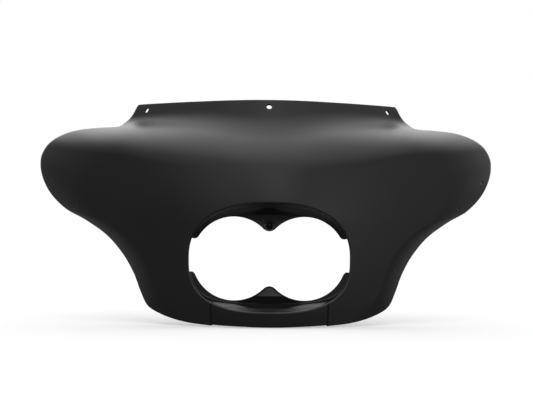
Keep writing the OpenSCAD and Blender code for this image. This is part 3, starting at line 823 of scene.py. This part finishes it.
# one insert in each boss, its axis along Y and its outer face flush with the boss
seat = gn.new("GeometryNodeInstanceOnPoints")
gl.new(size_of["Geometry"], seat.inputs["Points"])
gl.new(carve.outputs[0], seat.inputs["Instance"])
seat.inputs["Rotation"].default_value = (math.pi / 2, 0, 0)
real = gn.new("GeometryNodeRealizeInstances")
gl.new(seat.outputs[0], real.inputs[0])
dress = gn.new("GeometryNodeSetMaterial")
gl.new(real.outputs[0], dress.inputs["Geometry"])
gl.new(size_of["Material"], dress.inputs["Material"])
gl.new(dress.outputs[0], result.inputs["Geometry"])

brass = bpy.data.materials.new("turned_brass")
brass.use_nodes = True
bn, bl = brass.node_tree.nodes, brass.node_tree.links
metal = bn["Principled BSDF"]
TOOL_MARK = 0.000008
metal.inputs["Metallic"].default_value = 1
on_piece = bn.new("ShaderNodeTexCoord")
tarnish = noise(bn, bl, on_piece.outputs["Object"], 180, 4, 0.6)
tone = bn.new("ShaderNodeValToRGB")
dull, bright = tone.color_ramp.elements
dull.position, dull.color = 0.3, (0.5, 0.33, 0.12, 1)
bright.position, bright.color = 0.7, (0.76, 0.56, 0.25, 1)
bl.new(tarnish, tone.inputs["Fac"])
bl.new(tone.outputs["Color"], metal.inputs["Base Color"])
bl.new(maths(bn, bl, "MULTIPLY_ADD", tarnish, 0.2, 0.18), metal.inputs["Roughness"])
turned = bn.new("ShaderNodeBump")
turned.inputs["Distance"].default_value = 1
marks = maths(bn, bl, "MULTIPLY", noise(bn, bl, on_piece.outputs["Object"], 2500, 1), TOOL_MARK)
bl.new(marks, turned.inputs["Height"])
bl.new(turned.outputs["Normal"], metal.inputs["Normal"])

END_GAP = 0.02
seats = []
for p, _, _ in bosses:
    x, y, z = map(float, place([p[0], p[1] + BOSS_H - INSERT_L / 2 - END_GAP, p[2]]))
    seats += [(x, y, z), (-x, y, z)]
seat_mesh = bpy.data.meshes.new("insert_seats")
seat_mesh.from_pydata(seats, [], [])
inserts = bpy.data.objects.new("threaded_inserts_knurled", seat_mesh)
bpy.context.scene.collection.objects.link(inserts)
maker = inserts.modifiers.new("knurl", "NODES")
maker.node_group = knurl
for item in knurl.interface.items_tree:
    if item.item_type == "SOCKET" and item.in_out == "INPUT":
        if item.name in SIZES:
            maker[item.identifier] = SIZES[item.name]
        elif item.name == "Material":
            maker[item.identifier] = brass
evaluated = inserts.evaluated_get(bpy.context.evaluated_depsgraph_get())
turned_mesh = bpy.data.meshes.new_from_object(evaluated)
inserts.modifiers.remove(maker)
inserts.data = turned_mesh
turned_mesh.materials.pop(index=0)  # the sweep's own empty slot, which no face wears
turned_mesh.shade_smooth()
turned_mesh.set_sharp_from_angle(angle=math.radians(35))
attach(inserts, "root")
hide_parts("threaded_inserts")

# ---------------------------------------------------------------------------
# Studio
# Plain pale floor under soft light from all round, as in a light tent, and a camera on the
# photograph's line of sight, 1.94 m in front of the nose
def grey_between(nodes, links, share, low, high):
    """low where the share is 0 and high where it is 1."""
    return maths(nodes, links, "MULTIPLY_ADD", share, high - low, low)


FLOOR_HALF, FLOOR_Z = 6.0, float(cad_box[0][2]) - 0.5 * MM
FLOOR_TONE, FLOOR_GLOW = 0.22, 0.26
floor_mesh = bpy.data.meshes.new("floor")
floor_mesh.from_pydata([(x * FLOOR_HALF, y * FLOOR_HALF, FLOOR_Z)
                        for x, y in ((-1, -1), (1, -1), (1, 1), (-1, 1))], [], [(0, 1, 2, 3)])
floor = bpy.data.objects.new("floor", floor_mesh)
bpy.context.scene.collection.objects.link(floor)
pale = bpy.data.materials.new("pale_floor")
pale.use_nodes = True
nodes, links = pale.node_tree.nodes, pale.node_tree.links
matt = nodes["Principled BSDF"]
matt.inputs["Roughness"].default_value = 1
matt.inputs["Specular IOR Level"].default_value = 0
# The camera sees it white; for the rest of the light it is grey, as a table in the shade
seen = nodes.new("ShaderNodeLightPath").outputs["Is Camera Ray"]
links.new(grey_between(nodes, links, seen, FLOOR_TONE, 1.0), matt.inputs["Base Color"])
matt.inputs["Emission Strength"].default_value = 1
links.new(grey_between(nodes, links, seen, 0.0, FLOOR_GLOW), matt.inputs["Emission Color"])
floor_mesh.materials.append(pale)

# The light: soft patches, each given by its height and its way round in degrees, counted from
# straight in front of the part, and its strength
LIGHTS = [(-8, 60, 1.01), (20, -165, 1.19), (20, -105, 0.22), (20, -45, 0.54), (20, 15, 0.63),
          (20, 135, 0.58), (20, 165, 0.84), (45, -72, 0.27), (45, 0, 0.60), (45, 72, 0.34),
          (70, -150, 0.81), (70, -30, 0.28), (70, 90, 0.54)]
PATCH_FALL = 8
patch = bpy.data.node_groups.new("soft_patch", "ShaderNodeTree")
socket(patch, "Direction", "INPUT", "NodeSocketVector")
socket(patch, "Strength", "INPUT")
socket(patch, "Before", "INPUT")
socket(patch, "Sum", "OUTPUT")
pn, pl = patch.nodes, patch.links
come, go = pn.new("NodeGroupInput"), pn.new("NodeGroupOutput")
view_way, facing = pn.new("ShaderNodeTexCoord"), pn.new("ShaderNodeVectorMath")
facing.operation = "DOT_PRODUCT"
pl.new(view_way.outputs["Generated"], facing.inputs[0])
pl.new(come.outputs["Direction"], facing.inputs[1])
soft = maths(pn, pl, "POWER", maths(pn, pl, "MAXIMUM", facing.outputs["Value"], 0), PATCH_FALL)
soft = maths(pn, pl, "MULTIPLY_ADD", soft, come.outputs["Strength"], come.outputs["Before"])
pl.new(soft, go.inputs["Sum"])

world = bpy.data.worlds.new("studio")
bpy.context.scene.world = world
world.use_nodes = True
wn, wl = world.node_tree.nodes, world.node_tree.links
lit = None
for height, way, strength in LIGHTS:
    h, w = math.radians(height), math.radians(way)
    n = wn.new("ShaderNodeGroup")
    n.node_tree = patch
    n.inputs["Direction"].default_value = (
        math.cos(h) * math.sin(w), -math.cos(h) * math.cos(w), math.sin(h))
    n.inputs["Strength"].default_value = strength
    if lit:
        wl.new(lit.outputs["Sum"], n.inputs["Before"])
    lit = n
white = wn.new("ShaderNodeMix")
white.data_type = "RGBA"
wl.new(wn.new("ShaderNodeLightPath").outputs["Is Camera Ray"], white.inputs["Factor"])
wl.new(lit.outputs["Sum"], white.inputs["A"])
white.inputs["B"].default_value = (1, 1, 1, 1)
wl.new(white.outputs["Result"], wn["Background"].inputs["Color"])
wn["Background"].inputs["Strength"].default_value = 1

# Camera: turned off the middle line, tilted up and rolled as in the photograph; the focal length is
# given in pixels of a picture as wide as the photograph
YAW, PITCH, ROLL = math.radians(1.213), math.radians(2.6), math.radians(0.403)
DIST, AIM_X, CAM_Z = 1942.0, 6.44, 108.0
SENSOR_W, FOCAL_PX, PHOTO_PX = 36, 1258, 533
cam = bpy.data.cameras.new("camera")
cam.sensor_fit, cam.sensor_width = "HORIZONTAL", SENSOR_W
cam.lens = SENSOR_W * FOCAL_PX / PHOTO_PX
cam.clip_start, cam.clip_end = 0.05, 50
eye = bpy.data.objects.new("camera", cam)
bpy.context.scene.collection.objects.link(eye)
right = Vector((math.cos(YAW), -math.sin(YAW), 0))
ahead = Vector((math.sin(YAW), math.cos(YAW), 0))
up = Vector((0, 0, 1))
look = ahead * math.cos(PITCH) + up * math.sin(PITCH)
top = up * math.cos(PITCH) - ahead * math.sin(PITCH)
side = right * math.cos(ROLL) + top * math.sin(ROLL)
head = top * math.cos(ROLL) - right * math.sin(ROLL)
spot = place([-AIM_X * math.cos(YAW) - DIST * math.sin(YAW),
              AIM_X * math.sin(YAW) - DIST * math.cos(YAW), CAM_Z])
eye.matrix_world = Matrix([[side.x, head.x, -look.x, spot[0]], [side.y, head.y, -look.y, spot[1]],
                           [side.z, head.z, -look.z, spot[2]], [0, 0, 0, 1]])
bpy.context.scene.camera = eye
bpy.context.scene.view_settings.view_transform = "Standard"
